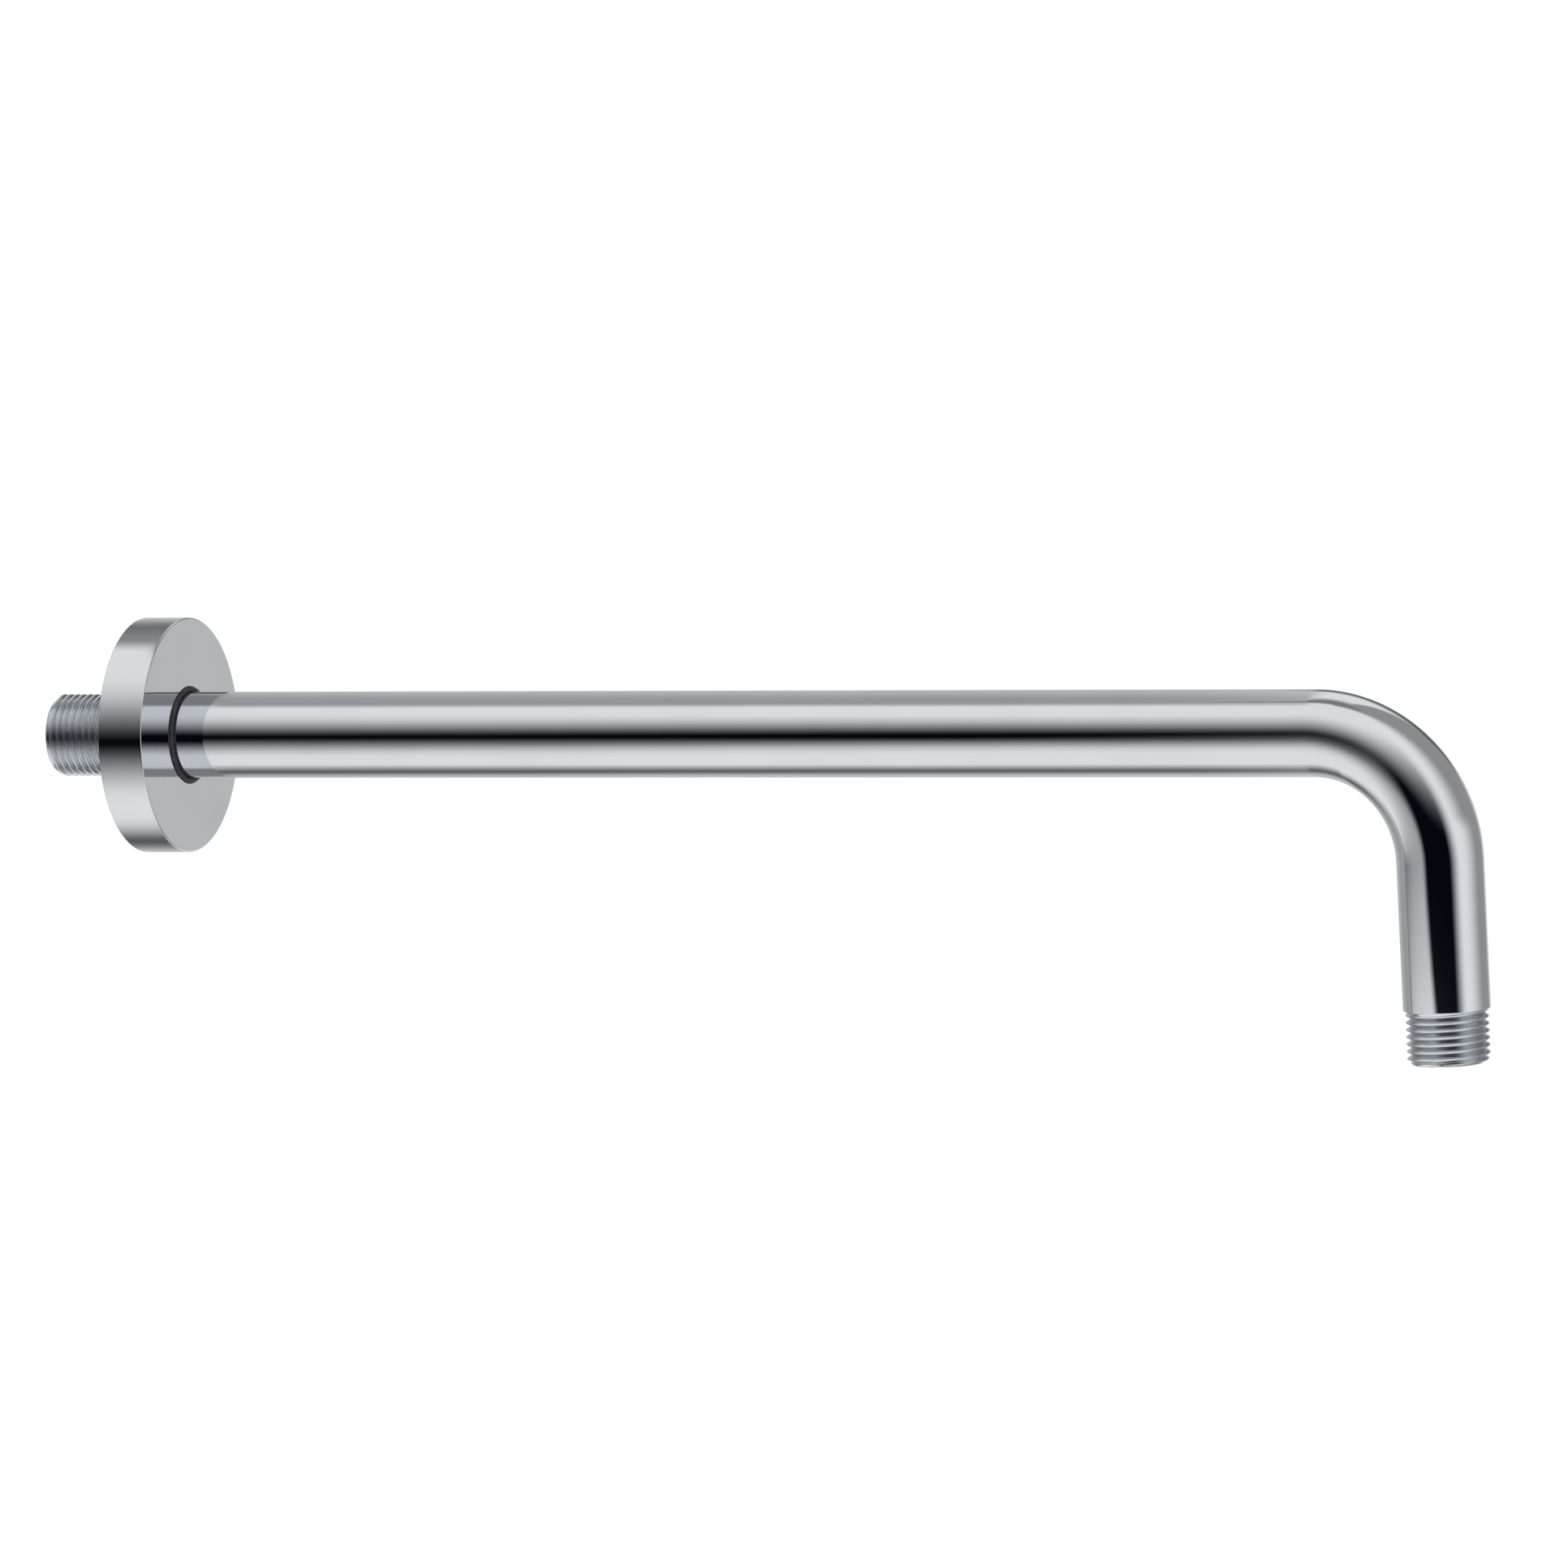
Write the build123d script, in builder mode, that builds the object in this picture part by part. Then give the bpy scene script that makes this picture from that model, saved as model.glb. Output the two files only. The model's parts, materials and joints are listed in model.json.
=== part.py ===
from build123d import *
import os

# Wall shower arm: a bent tube with a threaded nipple brazed into each end,
# and a hollow wall flange that slides on the tube over a rubber seal ring.
# The tube leaves the wall along +X and its outlet leg points down, along -Z.
# The origin is on the tube's axis, in the plane of the finished wall.
# All sizes are in millimetres.

# Bent tube
tube_od = 22.0
tube_wall = 1.2
bend_radius = 32.0  # of the tube's centre line
reach = 354.0  # wall plane to the axis of the outlet leg
drop = 69.5  # axis of the arm to the lower end of the tube
tube_setback = 2.0  # wall plane to the wall end of the tube

# Threaded nipples, both for G 1/2
thread_od = 20.955
thread_chamfer = 1.2
wall_thread_length = 26.5
outlet_thread_length = 13.5
water_bore = 15.0
bore_chamfer = 0.6
spigot_length = 9.0  # stretch that is brazed inside the tube
braze_gap = 0.05

# Wall flange
flange_od = 60.0
flange_depth = 12.0
flange_wall = 1.5
flange_edge_chamfer = 0.4  # front edge of the rim
hub_length = 6.0
hub_wall = 2.5
slide_clearance = 0.25  # between the tube and the hub

# Seal ring: it lies in a seat in the flange's front, and its nose stands out of the seat
seal_width = 1.3
seal_stand = 0.65  # how far the nose stands out of the flange's front
seal_chamfer = 0.4  # both edges of the nose
seat_depth = 0.7
seal_clearance = 0.05

tube_radius = tube_od / 2
tube_bore_radius = tube_radius - tube_wall
spigot_radius = tube_bore_radius - braze_gap
thread_radius = thread_od / 2
water_radius = water_bore / 2

flange_radius = flange_od / 2
front_back = flange_depth - flange_wall
hub_back = front_back - hub_length
hub_bore_radius = tube_radius + slide_clearance
hub_radius = hub_bore_radius + hub_wall

seal_inner_radius = tube_radius + seal_clearance
seal_outer_radius = seal_inner_radius + seal_width
seat_radius = seal_outer_radius + seal_clearance
seat_floor = flange_depth - seat_depth
seal_back = seat_floor + seal_clearance
seal_front = flange_depth + seal_stand

# Each end of the tube: x points into the tube, y away from the axis
wall_end = Plane(origin=(tube_setback, 0, 0), x_dir=(1, 0, 0), z_dir=(0, -1, 0))
outlet_end = Plane(origin=(reach, 0, -drop), x_dir=(0, 0, 1), z_dir=(0, -1, 0))


def nipple_outline(thread_length):
    """Half section of a nipple: the distance into the tube from its end, and the radius."""
    return [
        (spigot_length, water_radius),
        (spigot_length, spigot_radius),
        (0, spigot_radius),
        (0, thread_radius),
        (thread_chamfer - thread_length, thread_radius),
        (-thread_length, thread_radius - thread_chamfer),
        (-thread_length, water_radius + bore_chamfer),
        (bore_chamfer - thread_length, water_radius),
    ]


# Tube: one hollow section carried along the arm, round the bend and down the leg
with BuildPart() as arm_tube:
    with BuildLine(Plane.XZ):
        FilletPolyline((tube_setback, 0), (reach, 0), (reach, -drop), radius=bend_radius)
    with BuildSketch(Plane.YZ.offset(tube_setback)):
        Circle(tube_radius)
        Circle(tube_bore_radius, mode=Mode.SUBTRACT)
    sweep()

# Nipple that screws into the wall
with BuildPart() as wall_nipple:
    with BuildSketch(wall_end):
        with BuildLine():
            Polyline(*nipple_outline(wall_thread_length), close=True)
        make_face()
    revolve(axis=Axis(wall_end.origin, wall_end.x_dir))

# Nipple that carries the shower head
with BuildPart() as outlet_nipple:
    with BuildSketch(outlet_end):
        with BuildLine():
            Polyline(*nipple_outline(outlet_thread_length), close=True)
        make_face()
    revolve(axis=Axis(outlet_end.origin, outlet_end.x_dir))

# Flange: a turned shell, open to the wall, with a hub that runs on the tube
with BuildPart() as flange:
    with BuildSketch(Plane.XZ):
        with BuildLine():
            Polyline(
                (0, flange_radius - flange_wall),
                (0, flange_radius),
                (flange_depth, flange_radius),
                (flange_depth, seat_radius),
                (seat_floor, seat_radius),
                (seat_floor, hub_bore_radius),
                (hub_back, hub_bore_radius),
                (hub_back, hub_radius),
                (front_back, hub_radius),
                (front_back, flange_radius - flange_wall),
                close=True,
            )
        make_face()
    revolve(axis=Axis.X)
    outer_circles = flange.edges().filter_by(GeomType.CIRCLE).group_by(SortBy.RADIUS)[-1]
    chamfer(outer_circles.sort_by(Axis.X)[-1], length=flange_edge_chamfer)

# Seal ring around the tube
with BuildPart() as seal_ring:
    with BuildSketch(Plane.XZ):
        with BuildLine():
            Polyline(
                (seal_back, seal_inner_radius),
                (seal_back, seal_outer_radius),
                (seal_front - seal_chamfer, seal_outer_radius),
                (seal_front, seal_outer_radius - seal_chamfer),
                (seal_front, seal_inner_radius + seal_chamfer),
                (seal_front - seal_chamfer, seal_inner_radius),
                close=True,
            )
        make_face()
    revolve(axis=Axis.X)

arm_tube.part.label = "arm_tube"
wall_nipple.part.label = "wall_nipple"
outlet_nipple.part.label = "outlet_nipple"
flange.part.label = "flange"
seal_ring.part.label = "seal_ring"

os.makedirs("parts", exist_ok=True)
export_step(arm_tube.part, "parts/arm_tube.step")
export_step(wall_nipple.part, "parts/wall_nipple.step")
export_step(outlet_nipple.part, "parts/outlet_nipple.step")
export_step(flange.part, "parts/flange.step")
export_step(seal_ring.part, "parts/seal_ring.step")
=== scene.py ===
import json
import math

import bmesh
import bpy
from bmesh.types import BMEdge, BMFace, BMVert
from bpy.props import FloatProperty, FloatVectorProperty, IntProperty, PointerProperty
from bpy.types import Operator, Panel, PropertyGroup
from mathutils import Matrix, Quaternion, Vector


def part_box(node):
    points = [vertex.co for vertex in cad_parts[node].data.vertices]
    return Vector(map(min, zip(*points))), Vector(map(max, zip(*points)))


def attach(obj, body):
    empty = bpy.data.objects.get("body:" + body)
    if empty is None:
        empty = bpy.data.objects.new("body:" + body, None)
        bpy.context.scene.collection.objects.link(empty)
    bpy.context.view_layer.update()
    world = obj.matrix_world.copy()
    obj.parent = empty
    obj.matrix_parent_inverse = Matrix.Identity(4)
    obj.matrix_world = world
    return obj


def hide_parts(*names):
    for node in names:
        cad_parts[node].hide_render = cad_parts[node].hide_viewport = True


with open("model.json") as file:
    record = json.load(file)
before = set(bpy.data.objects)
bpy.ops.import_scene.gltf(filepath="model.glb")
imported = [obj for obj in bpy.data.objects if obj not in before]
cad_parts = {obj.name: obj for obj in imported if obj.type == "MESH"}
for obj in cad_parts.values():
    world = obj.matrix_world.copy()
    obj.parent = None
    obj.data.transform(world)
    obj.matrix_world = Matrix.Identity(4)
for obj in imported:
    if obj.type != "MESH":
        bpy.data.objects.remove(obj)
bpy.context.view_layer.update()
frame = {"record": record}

bl_info = {
    "name": "Shower arm",
    "version": (1, 0, 0),
    "blender": (4, 5, 0),
    "location": "View3D > Sidebar > Shower Arm",
    "description": "Builds a chromed wall shower arm with threaded ends and a sliding wall flange",
    "category": "Add Mesh",
}

# All sizes are in metres. The arm leaves the wall along +X, and its outlet leg points down.

WELD = 1e-6  # vertices closer than this are one
ON_CUT = 1e-7  # vertices closer than this to a cut lie on it
ON_CIRCLE = 2e-6  # how far a vertex may be from a circle that it lies on
SMOOTH_ANGLE = math.radians(40)  # edges that turn by more are shaded as corners
FINE_STEPS = 3  # faces across the rounding of a small edge
ROUND_STEPS = 4  # faces across a rounding that shows
THREAD_ANGLE = math.radians(55)  # between the flanks of a pipe thread
THREAD_ROUNDING = 1 / 6  # share of a sharp thread's height that is rounded off each crest and each root
GROOVE = "groove"  # vertex attribute that is 0 on the crests of a thread and 1 in its roots
OUTSIDE = 0  # material slot of the finish that shows
INSIDE = 1  # material slot of the finish in the waterway or inside the flange
WHITE = (1, 1, 1, 1)

MOUNTS = {mount["name"]: mount for mount in frame["record"]["mounts"]}


def node_box(node):
    """Lowest and highest corner of a node, to a hundredth of a millimetre."""
    return [Vector([round(value, 5) for value in corner]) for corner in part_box(node)]


TUBE_LOW, TUBE_HIGH = node_box("arm_tube")
WALL_NIPPLE_LOW, WALL_NIPPLE_HIGH = node_box("wall_nipple")
OUTLET_NIPPLE_LOW = node_box("outlet_nipple")[0]
FLANGE_HIGH = node_box("flange")[1]
SEAL_LOW, SEAL_HIGH = node_box("seal_ring")


# Settings

def length(name, description, default):
    """A size in metres."""
    return FloatProperty(
        name=name, description=description, default=default, min=0, unit="LENGTH", precision=5)


def point(name, description, default):
    """A point, or the way from one to another, in metres."""
    return FloatVectorProperty(
        name=name, description=description, default=default, size=3, subtype="TRANSLATION", unit="LENGTH",
        precision=4)


def angle(name, description, degrees):
    """An angle, given in degrees."""
    return FloatProperty(name=name, description=description, default=math.radians(degrees), subtype="ANGLE")


def count(name, description, default, fewest):
    """A number of faces."""
    return IntProperty(name=name, description=description, default=default, min=fewest)


def share(name, description, default):
    """A share, from 0 to 1."""
    return FloatProperty(name=name, description=description, default=default, min=0, max=1, subtype="FACTOR")


def colour(name, description, default):
    """A colour in linear light."""
    return FloatVectorProperty(
        name=name, description=description, default=default, size=3, min=0, max=1, subtype="COLOR")


class TubeSettings(PropertyGroup):
    """Sizes of the bent tube"""
    radius: length("Radius", "Outside radius of the tube", TUBE_HIGH.y)
    wall: length("Wall", "Thickness of the tube's wall", 0.0012)
    setback: length("Setback", "Wall plane to the tube's wall end", TUBE_LOW.x)
    reach: length("Reach", "Wall plane to the axis of the outlet leg", MOUNTS["outlet_thread"]["pos_m"][0])
    drop: length("Drop", "Axis of the arm to the tube's lower end", -TUBE_LOW.z)
    bend_radius: length("Bend radius", "Radius of the tube's centre line in the bend", 0.032)
    end_rounding: length("End rounding", "Rounding of the edges at both ends", 0.0003)
    sides: count("Sides", "Faces around the tube", 128, 24)
    bend_steps: count("Bend steps", "Faces along the bend", 60, 12)


class NippleSettings(PropertyGroup):
    """Sizes of the two threaded nipples"""
    radius: length("Thread radius", "Radius over the crests", MOUNTS["wall_thread"]["dims"]["r_mm"] / 1000)
    pitch: length("Pitch", "Distance from crest to crest", 0.001814)
    wall_length: length("Wall thread", "Length of the wall thread", TUBE_LOW.x - WALL_NIPPLE_LOW.x)
    outlet_length: length("Outlet thread", "Length of the outlet thread", TUBE_LOW.z - OUTLET_NIPPLE_LOW.z)
    nose_chamfer: length("Nose chamfer", "Chamfer at the start of a thread", 0.0012)
    run_out: length("Run-out", "Stretch in which a thread's groove ends at the tube", 0.0014)
    bore_radius: length("Bore radius", "Radius of the waterway", 0.0075)
    bore_chamfer: length("Bore chamfer", "Chamfer at the mouth of the waterway", 0.0006)
    spigot_radius: length("Spigot radius", "Radius of the stretch inside the tube", 0.00975)
    spigot_length: length(
        "Spigot length", "Length of the stretch inside the tube", WALL_NIPPLE_HIGH.x - TUBE_LOW.x)
    steps: count("Steps", "Faces in one turn of a thread", 96, 24)


class FlangeSettings(PropertyGroup):
    """Sizes of the wall flange"""
    radius: length("Radius", "Outside radius of the rim", FLANGE_HIGH.z)
    depth: length("Depth", "Wall plane to the flat front", FLANGE_HIGH.x)
    wall: length("Wall", "Thickness of the rim and of the front", 0.0015)
    hub_length: length("Hub length", "How far the hub stands behind the front", 0.006)
    hub_wall: length("Hub wall", "Thickness of the hub", 0.0025)
    slide_gap: length("Slide gap", "Gap between the hub and the tube", 0.00025)
    seat_gap: length("Seat gap", "Gap around the seal ring in its seat", 0.00005)
    rim_rounding: length("Rim rounding", "Rounding of the rim's front edge", 0.0004)
    edge_rounding: length("Edge rounding", "Rounding of the other edges", 0.0002)
    sides: count("Sides", "Faces around the flange", 192, 32)


class SealSettings(PropertyGroup):
    """Sizes of the seal ring"""
    back: length("Back", "Wall plane to the back of the ring", SEAL_LOW.x)
    front: length("Front", "Wall plane to the nose of the ring", SEAL_HIGH.x)
    outer_radius: length("Outer radius", "Outside radius of the ring", SEAL_HIGH.z)
    width: length("Width", "Outside radius less inside radius", 0.0013)
    nose_rounding: length("Nose rounding", "Rounding of the nose's two edges", 0.0005)
    back_rounding: length("Back rounding", "Rounding of the two back edges", 0.00015)
    sides: count("Sides", "Faces around the ring", 160, 32)


class FinishSettings(PropertyGroup):
    """Colours of the metals and of the rubber"""
    chrome: colour("Chrome", "Polished chrome plate", (0.69, 0.714, 0.74))
    thread: colour("Thread", "Thin dull plating on the threads", (0.705, 0.74, 0.772))
    turned: colour("Turned metal", "Unpolished plating inside the flange", (0.62, 0.625, 0.62))
    brass: colour("Brass", "Bare brass in the waterway", (0.56, 0.39, 0.16))
    rubber: colour("Rubber", "Black rubber of the seal ring", (0.035, 0.035, 0.037))


class NetSettings(PropertyGroup):
    """The dark nets around the arm, which only mirrors see"""
    radius: length("Radius", "Aim point to the nets", 1.0)
    sides: count("Sides", "Faces around the nets", 64, 16)
    shade: colour("Shade", "Dark glow of the nets", (0.002, 0.003, 0.006))
    band: share("Band", "Density of the band behind the arm", 0.85)
    upper_wall_side: share("Upper wall side", "Density on the wall side", 0.576)
    lower_wall_side: share("Lower wall side", "Density on the wall side, low down", 0.848)
    outlet_side: share("Outlet side", "Density on the outlet side", 0.643)
    overhead: share("Overhead", "Density overhead", 0.75)
    face: share("Face", "Density of the patch that the flange's front mirrors", 0.364)


class BoardSettings(PropertyGroup):
    """The white board in front of the arm, which only mirrors see"""
    distance: length("Distance", "Arm to the board", 0.09)
    width: length("Width", "Width of the board", 0.8)
    height: length("Height", "Height of the board", 0.7)
    top: length("Top", "How far the board stands over the arm's axis", 0.04)


class StudioSettings(PropertyGroup):
    """The camera, the light and the floor"""
    aim: point("Aim", "Point in the middle of the picture", (0.1762, 0.0012, -0.0129))
    azimuth: angle("Azimuth", "Camera's turn from the front towards the outlet", 23.36)
    elevation: angle("Elevation", "Camera's height over the arm", 6.41)
    roll: angle("Roll", "Camera's turn around its own line of sight", -2.79)
    distance: length("Distance", "Camera to the aim point", 5.351)
    lens: FloatProperty(
        name="Lens", description="Focal length in millimetres", default=485.6, min=1, unit="CAMERA")
    sky_level: FloatProperty(name="Sky level", description="Light from all round", default=0.75, min=0)
    lamp_power: FloatProperty(
        name="Lamp power", description="Power of the soft box", default=30, min=0, unit="POWER")
    lamp_size: length("Lamp size", "Side of the soft box", 2.0)
    lamp_offset: point("Lamp offset", "Aim point to the soft box", (-0.8, -2.0, 2.8))
    floor_drop: length("Floor drop", "Arm's axis to the floor below it", 2.1)
    floor_radius: length("Floor radius", "Radius of the round floor", 6.0)
    floor_sides: count("Floor sides", "Edges around the floor", 128, 32)
    floor_colour: colour("Floor colour", "Pale paint of the floor", (0.9, 0.9, 0.9))
    floor_shadow: share("Floor shadow", "How much of its shadow the floor shows", 0.1)
    floor_fade: share("Floor fade", "Share of the radius inside which the floor doesn't fade", 0.25)


class ShowerArmSettings(PropertyGroup):
    """All settings of the shower arm"""
    tube: PointerProperty(type=TubeSettings)
    nipple: PointerProperty(type=NippleSettings)
    flange: PointerProperty(type=FlangeSettings)
    seal: PointerProperty(type=SealSettings)
    finish: PointerProperty(type=FinishSettings)
    nets: PointerProperty(type=NetSettings)
    board: PointerProperty(type=BoardSettings)
    studio: PointerProperty(type=StudioSettings)


# Shaders

class Signal:
    """One socket of a shader. Arithmetic on signals adds Math nodes to the shader's tree."""

    def __init__(self, tree, socket=None):
        self.tree = tree
        self.socket = socket

    def node(self, kind, settings=None, sockets=None, output=0):
        """Adds a node by its type, its settings and its sockets' values or links, and gives one output."""
        made = self.tree.nodes.new(kind)
        for name, value in (settings or {}).items():
            setattr(made, name, value)
        for name, value in (sockets or {}).items():
            if isinstance(value, Signal):
                self.tree.links.new(value.socket, made.inputs[name])
            else:
                made.inputs[name].default_value = value
        return Signal(self.tree, made.outputs[output] if len(made.outputs) else None)

    def math(self, operation, *values):
        """A Math node on signals and numbers."""
        return self.node("ShaderNodeMath", {"operation": operation}, dict(enumerate(values)))

    def __add__(self, other):
        return self.math("ADD", self, other)

    def __radd__(self, other):
        return self.math("ADD", other, self)

    def __sub__(self, other):
        return self.math("SUBTRACT", self, other)

    def __rsub__(self, other):
        return self.math("SUBTRACT", other, self)

    def __mul__(self, other):
        return self.math("MULTIPLY", self, other)

    def __rmul__(self, other):
        return self.math("MULTIPLY", other, self)

    def __pow__(self, other):
        return self.math("POWER", self, other)

    def __rpow__(self, other):
        return self.math("POWER", other, self)

    def greater(self, other):
        """The greater of two values."""
        return self.math("MAXIMUM", self, other)

    def fade(self, low, high):
        """0 at low, 1 at high, smooth between them and held outside."""
        return self.node(
            "ShaderNodeMapRange", {"interpolation_type": "SMOOTHSTEP"},
            {"Value": self, "From Min": low, "From Max": high})

    def blend(self, first, second):
        """A colour between two, with this signal as the share of the second."""
        # A Mix node's colours are its inputs 6 and 7 and its output 2
        return self.node("ShaderNodeMix", {"data_type": "RGBA"}, {0: self, 6: first, 7: second}, 2)

    def noise(self, scale, detail):
        """Cloudy noise at the place that this signal gives."""
        return self.node("ShaderNodeTexNoise", sockets={"Vector": self, "Scale": scale, "Detail": detail})

    def along(self, axes):
        """The parts of a vector along the named axes."""
        return [self.node("ShaderNodeSeparateXYZ", sockets={"Vector": self}, output=axis) for axis in axes]


def new_shader(owner):
    """An empty node tree on a material or a world, as the signal that starts its nodes."""
    owner.use_nodes = True
    owner.node_tree.nodes.clear()
    return Signal(owner.node_tree)


def new_material(name):
    """A material without nodes, and the Object coordinates that its pattern starts from."""
    material = bpy.data.materials.new(name)
    return material, new_shader(material).node("ShaderNodeTexCoord", output="Object")


def rgba(settings_colour, level=1.0):
    """A colour of the settings, darkened or lightened, with an alpha of 1."""
    return [value * level for value in settings_colour] + [1.0]


def metal(base, roughness, height, relief):
    """Finishes a metal from signals for its colour, roughness and height, and its relief in metres."""
    normal = base.node("ShaderNodeBump", sockets={"Height": height, "Distance": relief})
    surface = base.node(
        "ShaderNodeBsdfPrincipled",
        sockets={"Base Color": base, "Metallic": 1.0, "Roughness": roughness, "Normal": normal})
    base.node("ShaderNodeOutputMaterial", sockets={"Surface": surface})


def polished_chrome(finish):
    """Mirror chrome, with the faint haze and ripple that polishing leaves."""
    material, place = new_material("polished_chrome")
    haze = place.noise(scale=55.0, detail=4.0)
    ripple = place.noise(scale=160.0, detail=1.0)
    base = haze.fade(0.35, 0.75).blend(rgba(finish.chrome), rgba(finish.chrome, 0.97))
    metal(base, roughness=0.025 + 0.02 * haze.fade(0.4, 0.75), height=ripple, relief=0.000004)
    return material


def plated_thread(finish):
    """Dull plating, rougher in the grooves and darkened there by painted shade, with a fine grain and darker
    patches.
    """
    material, place = new_material("plated_thread")
    groove = place.node("ShaderNodeAttribute", {"attribute_name": GROOVE}, output="Fac")
    grain = place.noise(scale=2600.0, detail=3.0)
    patches = place.noise(scale=240.0, detail=3.0)
    # Painted shade: the plating's colour darkens to 0.7 of itself in the thread's roots
    groove_shaded = groove.fade(0.25, 0.95).blend(rgba(finish.thread), rgba(finish.thread, 0.7))
    base = patches.fade(0.42, 0.7).blend(groove_shaded, rgba(finish.thread, 0.86))
    metal(base, roughness=0.16 + 0.08 * patches + 0.06 * groove, height=grain, relief=0.000008)
    return material


def turned_metal(finish):
    """Unpolished plating with the rings that a lathe leaves around the X axis."""
    material, place = new_material("turned_metal")
    x, y, z = place.along("XYZ")
    section = place.node("ShaderNodeCombineXYZ", sockets={"X": x, "Y": (y * y + z * z) ** 0.5})
    rings = section.noise(scale=5200.0, detail=2.0)
    stain = place.noise(scale=130.0, detail=4.0)
    base = stain.fade(0.4, 0.75).blend(rgba(finish.turned), rgba(finish.turned, 0.82))
    metal(base, roughness=0.3 + 0.15 * rings, height=rings, relief=0.00003)
    return material


def bare_brass(finish):
    """Brass in the waterway, clouded by water."""
    material, place = new_material("bare_brass")
    clouds = place.noise(scale=210.0, detail=5.0)
    grain = place.noise(scale=3000.0, detail=2.0)
    base = clouds.fade(0.4, 0.7).blend(rgba(finish.brass), rgba(finish.brass, 0.6))
    metal(base, roughness=0.28 + 0.2 * clouds, height=grain, relief=0.00002)
    return material


def seal_rubber(finish):
    """Smooth black rubber with a fine moulded grain and a grey bloom."""
    material, place = new_material("seal_rubber")
    grain = place.noise(scale=3500.0, detail=2.0)
    bloom = place.noise(scale=300.0, detail=3.0)
    normal = place.node("ShaderNodeBump", sockets={"Height": grain, "Distance": 0.00001})
    surface = place.node(
        "ShaderNodeBsdfPrincipled",
        sockets={
            "Base Color": bloom.fade(0.45, 0.75).blend(rgba(finish.rubber), rgba(finish.rubber, 1.6)),
            "Roughness": 0.5 + 0.15 * bloom,
            "Specular IOR Level": 0.3,
            "Normal": normal,
        })
    place.node("ShaderNodeOutputMaterial", sockets={"Surface": surface})
    return material


# Shapes

def only(kind, geometry):
    """The vertices, edges or faces among what a bmesh operator gives back."""
    return [item for item in geometry if isinstance(item, kind)]


def round_edges(bm, edges, radius, segments):
    """Rounds edges to a radius."""
    bmesh.ops.bevel(
        bm, geom=edges, offset=radius, offset_type="OFFSET", segments=segments, profile=0.5, affect="EDGES",
        material=-1)


def circle_edges(bm, x, radius):
    """Edges of the circle about the X axis at a place and a radius."""
    def on_circle(vert):
        return abs(vert.co.x - x) < ON_CIRCLE and abs(vert.co.yz.length - radius) < ON_CIRCLE
    return [edge for edge in bm.edges if all(on_circle(vert) for vert in edge.verts)]


def turned_ring(bm, outline, sides):
    """Spins a closed half section, given as its (x, radius) corners, about the X axis."""
    corners = [bm.verts.new((x, 0, radius)) for x, radius in outline]
    for pair in zip(corners, corners[1:] + corners[:1]):
        bm.edges.new(pair)
    bmesh.ops.spin(
        bm, geom=bm.verts[:] + bm.edges[:], axis=(1, 0, 0), angle=math.tau, steps=sides, use_merge=True)
    bmesh.ops.remove_doubles(bm, verts=bm.verts[:], dist=WELD)
    bmesh.ops.recalc_face_normals(bm, faces=bm.faces[:])


def new_object(name, bm, *materials):
    """Makes a bmesh an object of the scene."""
    mesh = bpy.data.meshes.new(name)
    bm.to_mesh(mesh)
    bm.free()
    for material in materials:
        mesh.materials.append(material)
    made = bpy.data.objects.new(name, mesh)
    bpy.context.scene.collection.objects.link(made)
    return made


def finish_piece(name, bm, node, body, *materials):
    """Makes a bmesh a smooth piece that rides on a body in the place of a CAD node."""
    piece = new_object(name, bm, *materials)
    piece.data.shade_smooth()
    piece.data.set_sharp_from_angle(angle=SMOOTH_ANGLE)
    even = piece.modifiers.new("Even shading", "WEIGHTED_NORMAL")
    even.keep_sharp = True
    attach(piece, body)
    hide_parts(node)


def tube_skin(bm, tube, radius):
    """Carries a circle along the arm, round the bend and down the leg, and gives the edges at both ends."""
    start = Matrix.Translation((tube.setback, 0, 0)) @ Matrix.Rotation(math.pi / 2, 4, "Y")
    bmesh.ops.create_circle(bm, segments=tube.sides, radius=radius, matrix=start)
    wall_end = [edge for edge in bm.edges if edge.is_wire]
    bend_start = tube.reach - tube.bend_radius
    arm = bmesh.ops.extrude_edge_only(bm, edges=wall_end)["geom"]
    bmesh.ops.translate(bm, verts=only(BMVert, arm), vec=(bend_start - tube.setback, 0, 0))
    bend = bmesh.ops.spin(
        bm, geom=only(BMVert, arm) + only(BMEdge, arm), cent=(bend_start, 0, -tube.bend_radius),
        axis=(0, 1, 0), angle=math.pi / 2, steps=tube.bend_steps)["geom_last"]
    leg = bmesh.ops.extrude_edge_only(bm, edges=only(BMEdge, bend))["geom"]
    bmesh.ops.translate(bm, verts=only(BMVert, leg), vec=(0, 0, tube.bend_radius - tube.drop))
    return wall_end, only(BMEdge, leg)


def tube_mesh(tube):
    """The hollow tube: chrome outside, bare inside, with its end edges rounded."""
    bm = bmesh.new()
    bore_ends = tube_skin(bm, tube, tube.radius - tube.wall)
    for face in bm.faces:
        face.material_index = INSIDE
    outer_ends = tube_skin(bm, tube, tube.radius)
    end_edges = []
    for outer, bore in zip(outer_ends, bore_ends):
        for face in bmesh.ops.bridge_loops(bm, edges=outer + bore)["faces"]:
            face.material_index = OUTSIDE
        end_edges += outer + bore
    bmesh.ops.remove_doubles(bm, verts=bm.verts[:], dist=WELD)
    bmesh.ops.recalc_face_normals(bm, faces=bm.faces[:])
    round_edges(bm, end_edges, tube.end_rounding, FINE_STEPS)
    return bm


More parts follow.
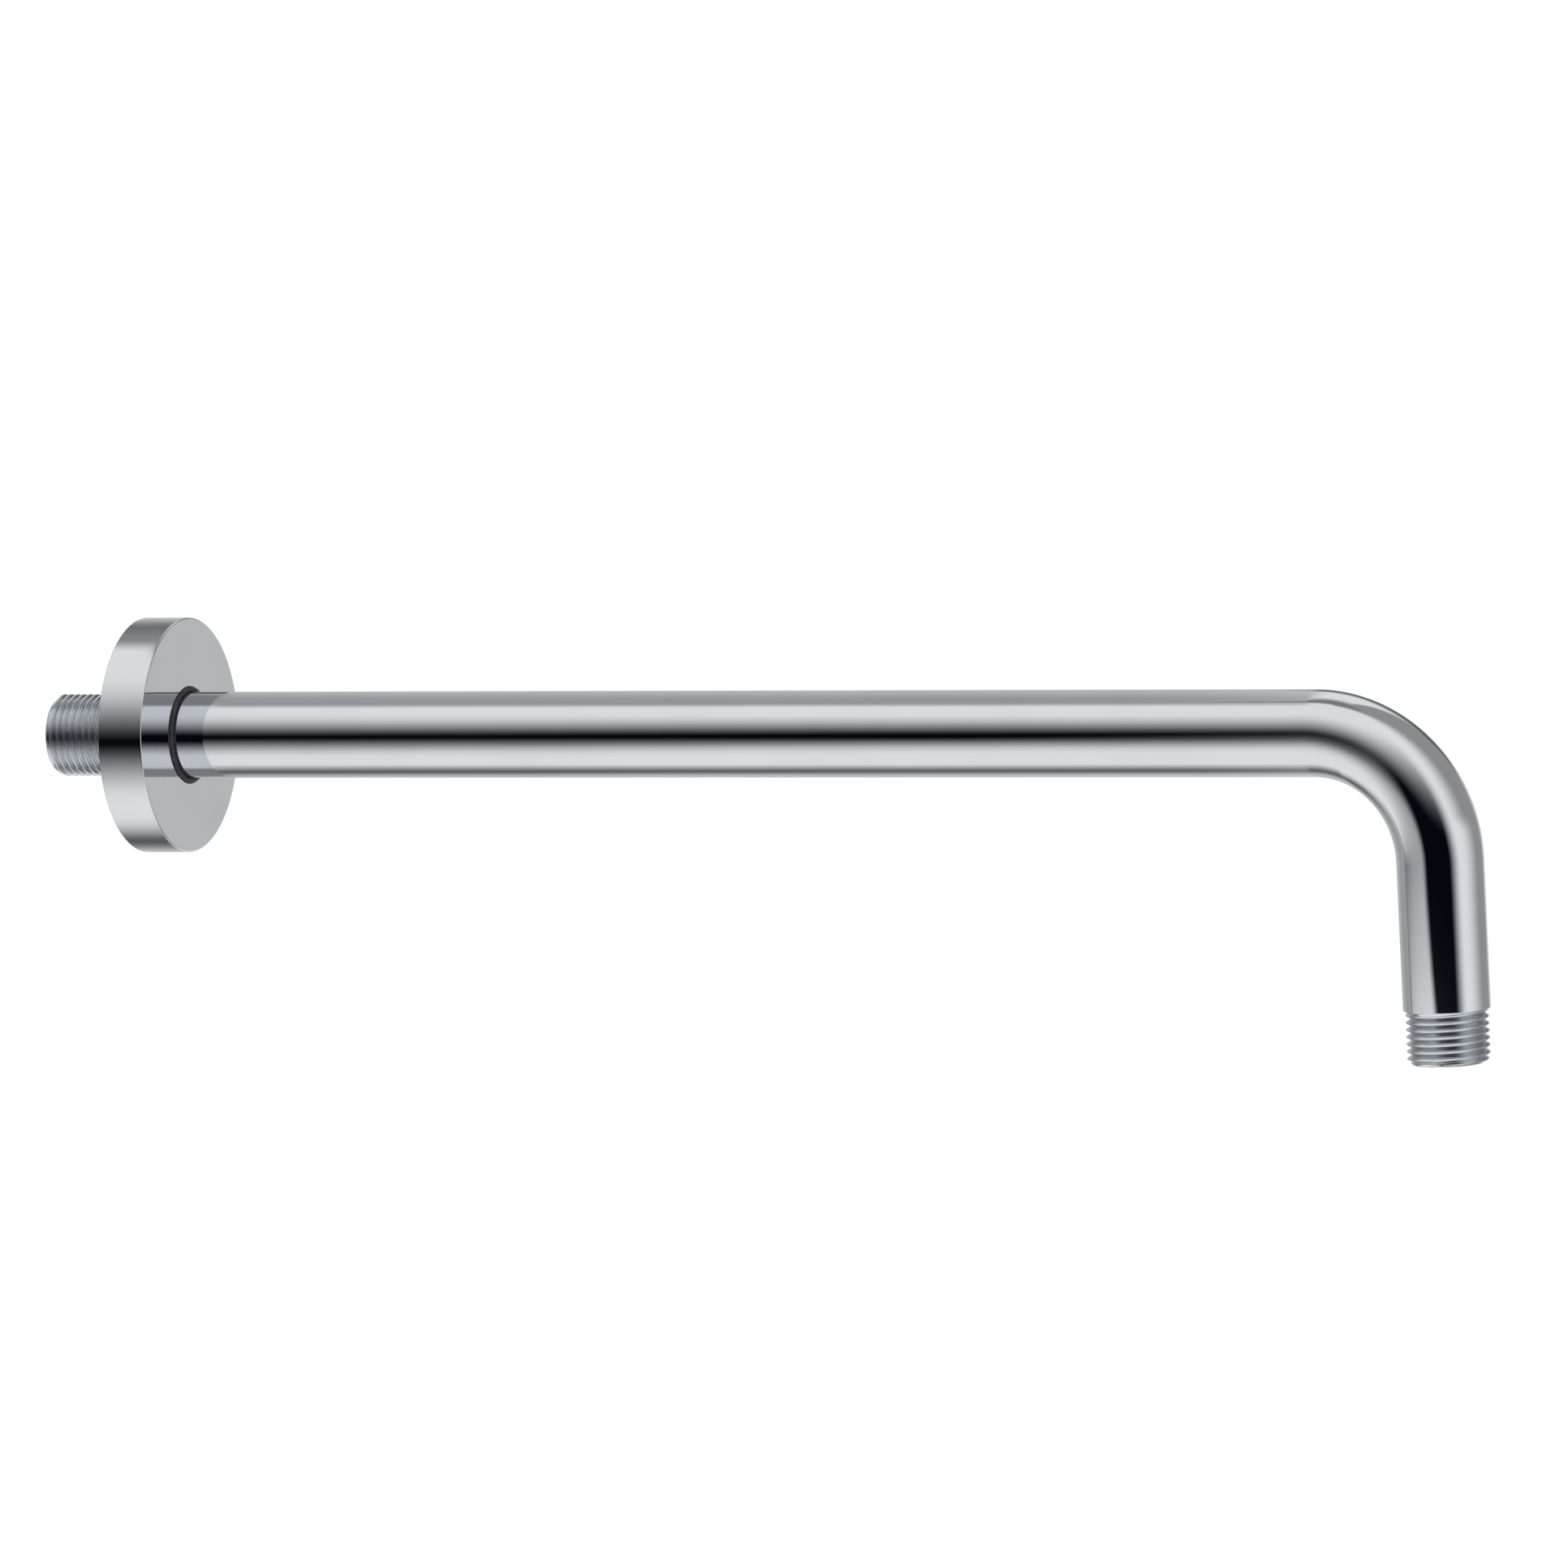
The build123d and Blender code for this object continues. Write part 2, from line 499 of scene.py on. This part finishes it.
def thread_skin(bm, nipple, thread_length):
    """A right-hand thread about the X axis, from -thread_length to 0, whose depth is given back."""
    pitch = nipple.pitch
    flank = THREAD_ANGLE / 2
    sharp_height = pitch / (2 * math.tan(flank))
    rounding_depth = THREAD_ROUNDING * sharp_height
    apex = nipple.radius + rounding_depth
    spare_turns = 1.5  # at each end, cut off below
    start = -thread_length - spare_turns * pitch
    turns = math.ceil(thread_length / pitch + 2 * spare_turns)
    # One pitch of the sharp thread: halfway up a flank, its crest, the next root and halfway up again
    profile = (
        (0, apex - sharp_height / 2),
        (pitch / 4, apex),
        (3 * pitch / 4, apex - sharp_height),
        (pitch, apex - sharp_height / 2),
    )
    corners = [bm.verts.new((start + x, 0, radius)) for x, radius in profile]
    for pair in zip(corners, corners[1:]):
        bm.edges.new(pair)
    # The arc of a bevel starts this far from a corner to round rounding_depth off it
    rounding_start = rounding_depth / ((2 - math.sqrt(2)) * math.cos(flank))
    bmesh.ops.bevel(
        bm, geom=corners[1:3], offset=rounding_start, offset_type="OFFSET", segments=ROUND_STEPS, profile=0.5,
        affect="VERTICES", material=-1)
    bmesh.ops.spin(
        bm, geom=bm.verts[:] + bm.edges[:], axis=(1, 0, 0), dvec=(pitch / nipple.steps, 0, 0), angle=math.tau,
        steps=nipple.steps)
    one_turn = bm.verts[:] + bm.edges[:] + bm.faces[:]
    for turn in range(1, turns):
        copy = bmesh.ops.duplicate(bm, geom=one_turn)["geom"]
        bmesh.ops.translate(bm, verts=only(BMVert, copy), vec=(turn * pitch, 0, 0))
    bmesh.ops.remove_doubles(bm, verts=bm.verts[:], dist=WELD)
    for end, outwards in ((-thread_length, -1), (0, 1)):
        bmesh.ops.bisect_plane(
            bm, geom=bm.verts[:] + bm.edges[:] + bm.faces[:], dist=ON_CUT, plane_co=(end, 0, 0),
            plane_no=(outwards, 0, 0), clear_outer=True)
    return sharp_height - 2 * rounding_depth


def shape_thread_ends(bm, nipple, thread_length, depth):
    """Chamfers a thread's nose, runs its groove out at the shoulder and notes how deep each point lies."""
    groove = bm.verts.layers.float.new(GROOVE)
    for vert in bm.verts:
        x, y, z = vert.co
        radius = math.hypot(y, z)
        nose_limit = nipple.radius - nipple.nose_chamfer + x + thread_length
        run_out_limit = nipple.radius + x * depth / nipple.run_out
        shaped = min(max(radius, run_out_limit), nose_limit)
        vert.co = (x, y * shaped / radius, z * shaped / radius)
        vert[groove] = max(min(nipple.radius, nose_limit) - shaped, 0) / depth
    return groove


def nipple_mesh(nipple, thread_length, place):
    """A threaded nipple with its waterway and spigot, its shoulder at the tube's end."""
    bm = bmesh.new()
    depth = thread_skin(bm, nipple, thread_length)
    groove = shape_thread_ends(bm, nipple, thread_length, depth)
    rims = [edge for edge in bm.edges if edge.is_boundary]
    shoulder = [edge for edge in rims if edge.verts[0].co.x > -thread_length / 2]
    ring = [edge for edge in rims if edge.verts[0].co.x < -thread_length / 2]
    radius_now = nipple.radius - nipple.nose_chamfer
    x_now = -thread_length
    inside = (
        (-thread_length, nipple.bore_radius + nipple.bore_chamfer),
        (nipple.bore_chamfer - thread_length, nipple.bore_radius),
        (nipple.spigot_length, nipple.bore_radius),
        (nipple.spigot_length, nipple.spigot_radius),
        (0, nipple.spigot_radius),
    )
    for x, radius in inside:
        grown = bmesh.ops.extrude_edge_only(bm, edges=ring)["geom"]
        ring = only(BMEdge, grown)
        scale = radius / radius_now
        bmesh.ops.scale(bm, verts=only(BMVert, grown), vec=(1, scale, scale))
        bmesh.ops.translate(bm, verts=only(BMVert, grown), vec=(x - x_now, 0, 0))
        for vert in only(BMVert, grown):
            vert[groove] = 0
        if x > -thread_length:
            for face in only(BMFace, grown):
                face.material_index = INSIDE
        radius_now = radius
        x_now = x
    bmesh.ops.bridge_loops(bm, edges=ring + shoulder)
    bmesh.ops.recalc_face_normals(bm, faces=bm.faces[:])
    bmesh.ops.transform(bm, matrix=place, verts=bm.verts[:])
    return bm


def flange_mesh(flange, tube, seal):
    """The hollow flange: a flat front with a seat for the seal ring, a rim and a hub on the tube."""
    rim_inside = flange.radius - flange.wall
    front_back = flange.depth - flange.wall
    hub_back = front_back - flange.hub_length
    hub_bore = tube.radius + flange.slide_gap
    hub_radius = hub_bore + flange.hub_wall
    seat_radius = seal.outer_radius + flange.seat_gap
    seat_floor = seal.back - flange.seat_gap
    outline = (
        (0, rim_inside),
        (0, flange.radius),
        (flange.depth, flange.radius),
        (flange.depth, seat_radius),
        (seat_floor, seat_radius),
        (seat_floor, hub_bore),
        (hub_back, hub_bore),
        (hub_back, hub_radius),
        (front_back, hub_radius),
        (front_back, rim_inside),
    )
    bm = bmesh.new()
    turned_ring(bm, outline, flange.sides)
    front_rim = (flange.depth, flange.radius)
    round_edges(bm, circle_edges(bm, *front_rim), flange.rim_rounding, ROUND_STEPS)
    for corner in outline:
        if corner != front_rim:
            round_edges(bm, circle_edges(bm, *corner), flange.edge_rounding, FINE_STEPS)
    for face in bm.faces:
        middle = face.calc_center_median()
        if middle.x < front_back + WELD and middle.yz.length < rim_inside + WELD:
            face.material_index = INSIDE
    return bm


def seal_mesh(seal):
    """The rubber ring, with a rounded nose."""
    inner_radius = seal.outer_radius - seal.width
    bm = bmesh.new()
    outline = (
        (seal.back, inner_radius),
        (seal.back, seal.outer_radius),
        (seal.front, seal.outer_radius),
        (seal.front, inner_radius),
    )
    turned_ring(bm, outline, seal.sides)
    for corner in outline:
        rounding = seal.nose_rounding if corner[0] == seal.front else seal.back_rounding
        round_edges(bm, circle_edges(bm, *corner), rounding, ROUND_STEPS)
    return bm


# Operators

class SHOWER_ARM_OT_tube(Operator):
    """Build the bent chrome tube"""
    bl_idname = "shower_arm.tube"
    bl_label = "Tube"
    bl_options = {"REGISTER", "UNDO"}

    def execute(self, context):
        settings = context.scene.shower_arm
        chrome = polished_chrome(settings.finish)
        brass = bare_brass(settings.finish)
        finish_piece("chrome_tube", tube_mesh(settings.tube), "arm_tube", "arm", chrome, brass)
        return {"FINISHED"}


class SHOWER_ARM_OT_nipples(Operator):
    """Build the threaded nipples at the wall and at the outlet"""
    bl_idname = "shower_arm.nipples"
    bl_label = "Threaded nipples"
    bl_options = {"REGISTER", "UNDO"}

    def execute(self, context):
        settings = context.scene.shower_arm
        tube = settings.tube
        nipple = settings.nipple
        plating = plated_thread(settings.finish)
        brass = bare_brass(settings.finish)
        wall_place = Matrix.Translation((tube.setback, 0, 0))
        outlet_place = Matrix.Translation((tube.reach, 0, -tube.drop)) @ Matrix.Rotation(-math.pi / 2, 4, "Y")
        wall = nipple_mesh(nipple, nipple.wall_length, wall_place)
        outlet = nipple_mesh(nipple, nipple.outlet_length, outlet_place)
        finish_piece("wall_thread", wall, "wall_nipple", "arm", plating, brass)
        finish_piece("outlet_thread", outlet, "outlet_nipple", "arm", plating, brass)
        return {"FINISHED"}


class SHOWER_ARM_OT_flange(Operator):
    """Build the wall flange that slides on the tube"""
    bl_idname = "shower_arm.flange"
    bl_label = "Wall flange"
    bl_options = {"REGISTER", "UNDO"}

    def execute(self, context):
        settings = context.scene.shower_arm
        chrome = polished_chrome(settings.finish)
        turned = turned_metal(settings.finish)
        flange = flange_mesh(settings.flange, settings.tube, settings.seal)
        finish_piece("wall_flange", flange, "flange", "flange", chrome, turned)
        return {"FINISHED"}


class SHOWER_ARM_OT_seal(Operator):
    """Build the rubber seal ring in the flange's front"""
    bl_idname = "shower_arm.seal"
    bl_label = "Seal ring"
    bl_options = {"REGISTER", "UNDO"}

    def execute(self, context):
        settings = context.scene.shower_arm
        rubber = seal_rubber(settings.finish)
        finish_piece("rubber_ring", seal_mesh(settings.seal), "seal_ring", "seal", rubber)
        return {"FINISHED"}


# Stage

def seen_white(shader):
    """1 for what the camera sees, straight or through a mirror or glass, and 0 for other light."""
    camera = shader.node("ShaderNodeLightPath", output="Is Camera Ray")
    glossy = shader.node("ShaderNodeLightPath", output="Is Glossy Ray")
    transmission = shader.node("ShaderNodeLightPath", output="Is Transmission Ray")
    return camera.greater(glossy).greater(transmission)


def light_sky(studio):
    """A world that lights evenly and is white where it is seen."""
    world = bpy.data.worlds.new("studio_sky")
    shader = new_shader(world)
    light = shader.node("ShaderNodeBackground", sockets={"Color": WHITE, "Strength": studio.sky_level})
    white = shader.node("ShaderNodeBackground", sockets={"Color": WHITE, "Strength": 1.0})
    sky = shader.node("ShaderNodeMixShader", sockets={0: seen_white(shader), 1: light, 2: white})
    shader.node("ShaderNodeOutputWorld", sockets={"Surface": sky})
    bpy.context.scene.world = world


def hang_lamp(studio):
    """A soft box above and in front of the arm."""
    light = bpy.data.lights.new("soft_box", "AREA")
    light.energy = studio.lamp_power
    light.size = studio.lamp_size
    offset = Vector(studio.lamp_offset)
    lamp = bpy.data.objects.new("soft_box", light)
    lamp.location = Vector(studio.aim) + offset
    lamp.rotation_euler = offset.to_track_quat("Z", "Y").to_euler()
    lamp.visible_glossy = False
    bpy.context.scene.collection.objects.link(lamp)


def pale_floor(studio, centre):
    """Pale paint that shows a faint shadow, fades to white at the floor's edge and is clear from below."""
    material, place = new_material("pale_floor")
    matt = place.node("ShaderNodeBsdfDiffuse", sockets={"Color": rgba(studio.floor_colour)})
    white = place.node("ShaderNodeEmission", sockets={"Color": WHITE, "Strength": 1.0})
    from_centre = place.node(
        "ShaderNodeVectorMath", {"operation": "DISTANCE"}, {0: place, 1: centre}, "Value")
    edge = from_centre.fade(studio.floor_fade * studio.floor_radius, studio.floor_radius)
    paleness = 1 - studio.floor_shadow * (1 - edge)
    top = place.node("ShaderNodeMixShader", sockets={0: paleness * seen_white(place), 1: matt, 2: white})
    underside = place.node("ShaderNodeNewGeometry", output="Backfacing")
    clear = place.node("ShaderNodeBsdfTransparent")
    surface = place.node("ShaderNodeMixShader", sockets={0: underside, 1: top, 2: clear})
    place.node("ShaderNodeOutputMaterial", sockets={"Surface": surface})
    return material


def lay_floor(studio):
    """A round floor, as far below the arm as a shower's floor is."""
    centre = Vector((studio.aim[0], 0, -studio.floor_drop))
    bm = bmesh.new()
    bmesh.ops.create_circle(
        bm, cap_ends=True, segments=studio.floor_sides, radius=studio.floor_radius,
        matrix=Matrix.Translation(centre))
    floor = new_object("floor", bm, pale_floor(studio, centre))


def mirror_only(prop):
    """Makes an object seen only by mirrors."""
    prop.visible_camera = False
    prop.visible_diffuse = False
    prop.visible_transmission = False
    prop.visible_shadow = False


def sheer(density, shade):
    """Finishes a shader that is clear where the density is 0 and glows in a shade where it is 1."""
    clear = density.node("ShaderNodeBsdfTransparent")
    glow = density.node("ShaderNodeEmission", sockets={"Color": shade, "Strength": 1.0})
    surface = density.node("ShaderNodeMixShader", sockets={0: density, 1: clear, 2: glow})
    density.node("ShaderNodeOutputMaterial", sockets={"Surface": surface})


def dark_net(nets):
    """Dark net, dense in front of the arm and thin behind it, so that the chrome has something to mirror.

    Directions are seen from the aim point. x, y and z are those of a direction of length 1, azimuth is its
    turn from the front towards the outlet and elevation its height, both in degrees.
    """
    material, place = new_material("dark_net")
    direction = place.node("ShaderNodeVectorMath", {"operation": "NORMALIZE"}, {0: place})
    x, y, z = direction.along("XYZ")
    azimuth = math.degrees(1) * direction.math("ARCTAN2", x, -1 * y)
    elevation = math.degrees(1) * direction.math("ARCSINE", z)

    # In front of the arm: black at its height, thinner upwards and downwards. The upper edge is lower towards
    # the wall, and the lower edge is lower towards the outlet.
    upper_edge_drop = 6.6 * (1 - azimuth.fade(-55, -15))
    lower_edge_drop = 7.6 * azimuth.fade(-24, -6)
    above = (elevation + upper_edge_drop).fade(3.4, 60)
    below = 1 - (elevation + lower_edge_drop).fade(-49, 0)
    outlet_end = (azimuth + 0.3 * elevation).fade(50, 78)
    front = (1 - above) * (1 - below) * azimuth.fade(-125, -65) * (1 - outlet_end)

    # Behind the arm: a dense band above its height
    band_height = elevation.fade(2, 12) * (1 - elevation.fade(22, 42))
    band_width = y.fade(0.35, 0.65) * x.fade(-0.3, -0.2) * (1 - x.fade(0.3, 0.5))
    band = nets.band * band_height * band_width

    # On the wall side: half dense, denser low down and thinner far back. At its wall end, which the flange's
    # rim mirrors, it starts further back and is denser.
    low = 1 - elevation.fade(-45, -20)
    far = y.fade(0.3, 0.8)
    wall_end = 1 - (x + 0.008 * low).fade(-0.541, -0.533)
    top_end = wall_end * elevation.fade(10, 38)
    upper = (nets.upper_wall_side + 0.108 * top_end) * (y - 0.248 * top_end).fade(-0.19, 0.092)
    lower = (nets.lower_wall_side + 0.044 * wall_end) * (y - 0.119 * wall_end).fade(-0.257, 0.343)
    upper_thinning = (0.246 - 0.498 * top_end) * far
    lower_thinning = (0.696 - 0.54 * wall_end) * far
    wall_side = upper * (1 - upper_thinning) * (1 - low) + lower * (1 - lower_thinning) * low
    wall_side = wall_side * (1 - x.fade(-0.29, -0.1))

    # On the outlet side, where the upper part starts nearer to the front, and overhead
    upper_start = 15.3 * elevation.fade(5, 14)
    outlet_side = nets.outlet_side * (azimuth + upper_start).fade(84.6, 130) * (1 - azimuth.fade(158, 166))
    overhead = nets.overhead * elevation.fade(62, 78) * y.fade(-0.016, 0.104)

    # A round patch behind the arm, which the flange's flat front mirrors
    patch_middle = (0.155, 0.983, -0.1)
    nearness = direction.node(
        "ShaderNodeVectorMath", {"operation": "DOT_PRODUCT"}, {0: direction, 1: patch_middle}, "Value")
    face = nets.face * nearness.fade(0.94, 0.98)

    density = front
    for net in (band, wall_side, outlet_side, overhead, face):
        density = density.greater(net)
    sheer(density, rgba(nets.shade))
    return material


def hang_nets(nets, aim):
    """The nets around the aim point."""
    bm = bmesh.new()
    bmesh.ops.create_uvsphere(bm, u_segments=nets.sides, v_segments=nets.sides // 2, radius=nets.radius)
    sphere = new_object("nets", bm, dark_net(nets))
    sphere.location = aim
    mirror_only(sphere)


def white_board(board):
    """White board whose soft upper edge rises towards the outlet, and whose outlet end leans and curves.

    x is the distance from the wall plane and z the height over the arm's axis.
    """
    material, place = new_material("white_board")
    x, z = place.along("XZ")
    rise = 0.198 * (x - 0.2)
    top = (z - rise).fade(-0.1365, 0)
    lean = 0.335 * (z + 0.06)
    curve = 8 * (z + 0.05) * (z + 0.05)
    outlet_end = (x + lean - curve).fade(0.314, 0.341)
    density = (1 - top) * (1 - outlet_end) * x.fade(-board.width / 2, -0.1)
    sheer(density, WHITE)
    return material


def stand_board(board):
    """The board in front of the arm, mostly below it, which lightens the lower half of the chrome."""
    middle = Matrix.Translation((0, -board.distance, board.top - board.height / 2))
    upright = Matrix.Rotation(math.pi / 2, 4, "X")
    half_sides = Matrix.Diagonal((board.width / 2, board.height / 2, 1, 1))
    bm = bmesh.new()
    bmesh.ops.create_grid(
        bm, x_segments=1, y_segments=1, size=1, matrix=middle @ upright @ half_sides)
    mirror_only(new_object("board", bm, white_board(board)))


def set_camera(studio):
    """The camera of the photograph."""
    data = bpy.data.cameras.new("camera")
    data.lens = studio.lens
    camera = bpy.data.objects.new("camera", data)
    level = math.cos(studio.elevation)
    back = Vector((
        level * math.sin(studio.azimuth), -level * math.cos(studio.azimuth), math.sin(studio.elevation)))
    turn = back.to_track_quat("Z", "Y") @ Quaternion((0, 0, 1), studio.roll)
    camera.location = Vector(studio.aim) + studio.distance * back
    camera.rotation_euler = turn.to_euler()
    bpy.context.scene.collection.objects.link(camera)
    bpy.context.scene.camera = camera


class SHOWER_ARM_OT_stage(Operator):
    """Set up the light, the floor, the nets, the board and the camera"""
    bl_idname = "shower_arm.stage"
    bl_label = "Stage"
    bl_options = {"REGISTER", "UNDO"}

    def execute(self, context):
        settings = context.scene.shower_arm
        context.scene.view_settings.view_transform = "Standard"
        light_sky(settings.studio)
        hang_lamp(settings.studio)
        lay_floor(settings.studio)
        hang_nets(settings.nets, settings.studio.aim)
        stand_board(settings.board)
        set_camera(settings.studio)
        return {"FINISHED"}


class VIEW3D_PT_shower_arm(Panel):
    """Lists the pieces of the shower arm and its stage"""
    bl_label = "Shower Arm"
    bl_space_type = "VIEW_3D"
    bl_region_type = "UI"
    bl_category = "Shower Arm"

    def draw(self, context):
        for operator in OPERATORS:
            self.layout.operator(operator.bl_idname)


OPERATORS = (
    SHOWER_ARM_OT_tube,
    SHOWER_ARM_OT_nipples,
    SHOWER_ARM_OT_flange,
    SHOWER_ARM_OT_seal,
    SHOWER_ARM_OT_stage,
)
CLASSES = (
    TubeSettings,
    NippleSettings,
    FlangeSettings,
    SealSettings,
    FinishSettings,
    NetSettings,
    BoardSettings,
    StudioSettings,
    ShowerArmSettings,
    *OPERATORS,
    VIEW3D_PT_shower_arm,
)


def register():
    for entry in CLASSES:
        bpy.utils.register_class(entry)
    bpy.types.Scene.shower_arm = PointerProperty(type=ShowerArmSettings)


def unregister():
    del bpy.types.Scene.shower_arm
    for entry in reversed(CLASSES):
        bpy.utils.unregister_class(entry)


def main():
    register()
    bpy.ops.shower_arm.tube()
    bpy.ops.shower_arm.nipples()
    bpy.ops.shower_arm.flange()
    bpy.ops.shower_arm.seal()
    bpy.ops.shower_arm.stage()


if __name__ == "__main__":
    main()
